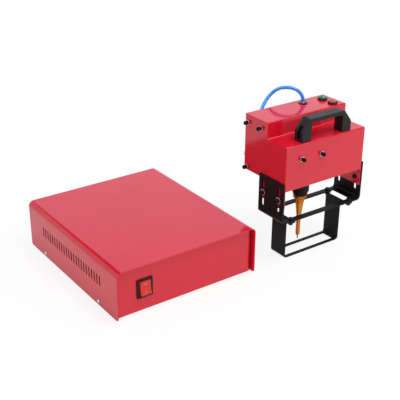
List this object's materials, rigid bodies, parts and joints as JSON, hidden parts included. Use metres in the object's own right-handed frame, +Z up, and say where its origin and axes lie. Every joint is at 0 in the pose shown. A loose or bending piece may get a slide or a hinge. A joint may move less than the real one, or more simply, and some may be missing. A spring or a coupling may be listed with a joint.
{
  "type": "nameplate marking machine",
  "caption": "Red control box with side vents and a rocker switch, beside a red marking head with a bridge handle, push buttons, an air tube and a stylus, held over a windowed black stand.",
  "frame": {"origin": "middle of the whole set's bounding box, on the surface that both units stand on", "axes": "+Z up, +X to the right along both fronts, +Y to the back"},
  "size_m": [0.4836, 0.315, 0.2663],
  "materials": {
    "red_paint": "glossy",
    "black_coat": "satin powder coat",
    "black_plastic": "satin",
    "black_steel": "black oxide",
    "black_anodise": "black anodised",
    "nickel": "nickel plated",
    "steel": "ground",
    "zinc": "zinc plated",
    "aluminium": "satin",
    "brass": "machined",
    "gold_anodise": "gold anodised",
    "carbide": "ground",
    "grey_rubber": "matt",
    "red_lens": "glossy",
    "red_cap": "glossy",
    "green_cap": "glossy",
    "blue_tube": "glossy",
    "board_green": "solder mask"
  },
  "bodies": {
    "controller": {"controller_cover": "red_paint", "controller_tray": "red_paint", "controller_foot_1": "grey_rubber", "controller_foot_2": "grey_rubber", "controller_foot_3": "grey_rubber", "controller_foot_4": "grey_rubber", "switch_bezel": "black_plastic", "mains_inlet": "black_plastic", "head_cable_socket": "nickel", "data_socket": "zinc", "power_supply": "aluminium", "control_board": "board_green", "cover_screw_1": "nickel", "cover_screw_2": "nickel", "cover_screw_3": "nickel", "cover_screw_4": "nickel"},
    "rocker": {"switch_rocker": "red_lens"},
    "stand": {"side_bracket": "black_coat", "lower_frame": "black_coat", "frame_bolt_1": "black_steel", "frame_bolt_2": "black_steel", "frame_bolt_3": "black_steel", "frame_bolt_4": "black_steel"},
    "head": {"housing_shell": "red_paint", "rear_panel": "red_paint", "inner_frame": "aluminium", "side_screw_1": "black_steel", "side_screw_2": "black_steel", "side_screw_3": "black_steel", "side_screw_4": "black_steel", "side_screw_5": "black_steel", "side_screw_6": "black_steel", "front_screw_1": "black_steel", "front_screw_2": "black_steel", "clamp_screw_1": "black_steel", "clamp_screw_2": "black_steel", "clamp_screw_3": "black_steel", "clamp_screw_4": "black_steel", "carry_handle": "black_plastic", "start_bezel": "black_plastic", "stop_bezel": "black_plastic", "fitting_grommet": "black_plastic", "top_fitting": "brass", "rear_elbow": "brass", "air_tube": "blue_tube", "signal_socket": "nickel", "air_valve": "aluminium", "x_motor": "black_steel", "x_rail": "steel"},
    "start_push": {"start_button": "green_cap"},
    "stop_push": {"stop_button": "red_cap"},
    "x_screw": {"x_lead_screw": "steel"},
    "x_stage": {"x_carriage": "aluminium", "y_rail": "steel", "y_motor": "black_steel"},
    "y_screw": {"y_lead_screw": "steel"},
    "stylus": {"stylus_holder": "black_anodise", "pen_body": "gold_anodise", "needle_spring": "steel"},
    "needle": {"stylus_needle": "carbide"}
  },
  "joints": [
    {"name": "rocker_tilt", "type": "hinge", "parent": "controller", "child": "rocker", "pos_m": [-0.18865, -0.13385, 0.043], "axis": [1, 0, 0], "range_deg": [0, 16]},
    {"name": "stand_lift", "type": "slide", "parent": "controller", "child": "stand", "axis": [0, 0, 1], "range_m": [0, 0.12]},
    {"name": "head_height", "type": "slide", "parent": "stand", "child": "head", "axis": [0, 0, 1], "range_m": [-0.017, 0.02]},
    {"name": "start_press", "type": "slide", "parent": "head", "child": "start_push", "axis": [0, 0, -1], "range_m": [0, 0.0025], "stiffness_N_per_m": 800, "springref_m": -0.001},
    {"name": "stop_press", "type": "slide", "parent": "head", "child": "stop_push", "axis": [0, 0, -1], "range_m": [0, 0.0025], "stiffness_N_per_m": 800, "springref_m": -0.001},
    {"name": "x_travel", "type": "slide", "parent": "head", "child": "x_stage", "axis": [1, 0, 0], "range_m": [-0.022, 0.058]},
    {"name": "x_screw_turn", "type": "hinge", "parent": "head", "child": "x_screw", "pos_m": [0.16535, -0.07985, 0.212], "axis": [1, 0, 0], "range_deg": [-2620, 1000]},
    {"name": "y_travel", "type": "slide", "parent": "x_stage", "child": "stylus", "axis": [0, 1, 0], "range_m": [-0.01, 0.008]},
    {"name": "y_screw_turn", "type": "hinge", "parent": "x_stage", "child": "y_screw", "pos_m": [0.14835, -0.11685, 0.1525], "axis": [0, 1, 0], "range_deg": [-725, 905]},
    {"name": "needle_stroke", "type": "slide", "parent": "stylus", "child": "needle", "axis": [0, 0, -1], "range_m": [0, 0.003], "stiffness_N_per_m": 200, "springref_m": -0.002, "deforming": ["needle_spring"]}
  ],
  "couplings": [
    {"joint": "x_screw_turn", "follows": "x_travel", "rad_per_m": -785.4},
    {"joint": "y_screw_turn", "follows": "y_travel", "rad_per_m": -1570.8}
  ]
}
